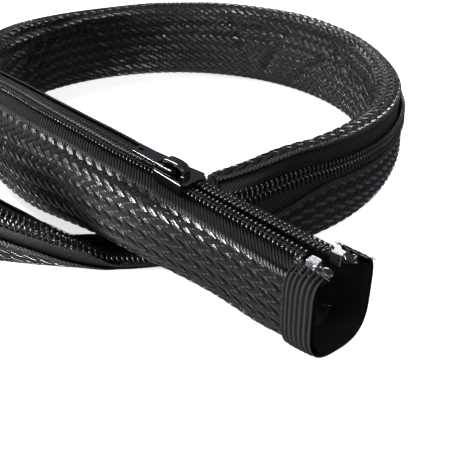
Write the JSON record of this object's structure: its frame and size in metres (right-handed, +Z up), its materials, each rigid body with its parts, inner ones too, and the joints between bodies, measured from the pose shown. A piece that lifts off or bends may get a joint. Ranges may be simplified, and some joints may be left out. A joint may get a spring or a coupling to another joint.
{
  "type": "zippered cable sleeve",
  "caption": "Flexible braided cable sleeve closed by a coil zip, coiled in one loop with its open mouth resting on top.",
  "frame": {"origin": "under the middle of the whole coiled sleeve, on the table", "axes": "+X along the mouth run towards the open mouth, +Y away from the mouth run's outer side, +Z up"},
  "size_m": [0.2342, 0.2312, 0.0388],
  "materials": {
    "braid": "woven plastic monofilament, semi-gloss",
    "tape": "knitted tape, matt",
    "coil": "nylon, satin",
    "clip": "bright",
    "slider": "black lacquer, glossy"
  },
  "bodies": {
    "sleeve": {"braid_sleeve": "braid", "zipper_tape_near": "tape", "zipper_tape_far": "tape", "mouth_binding": "tape", "tail_binding": "tape", "coil_near": "coil", "coil_far": "coil", "end_stop_near": "clip", "end_stop_far": "clip", "bottom_stop": "clip"},
    "slider": {"slider_body": "slider"},
    "pull": {"pull_tab": "slider"}
  },
  "joints": [
    {"name": "slider_travel", "type": "slide", "parent": "sleeve", "child": "slider", "axis": [0.9974, 0, -0.0715], "range_m": [-0.01, 0.043], "deforming": ["coil_near", "coil_far"]},
    {"name": "pull_tab_swing", "type": "hinge", "parent": "slider", "child": "pull", "pos_m": [0.05538, -0.04936, 0.03468], "axis": [0, 1, 0], "range_deg": [0, 170]}
  ]
}
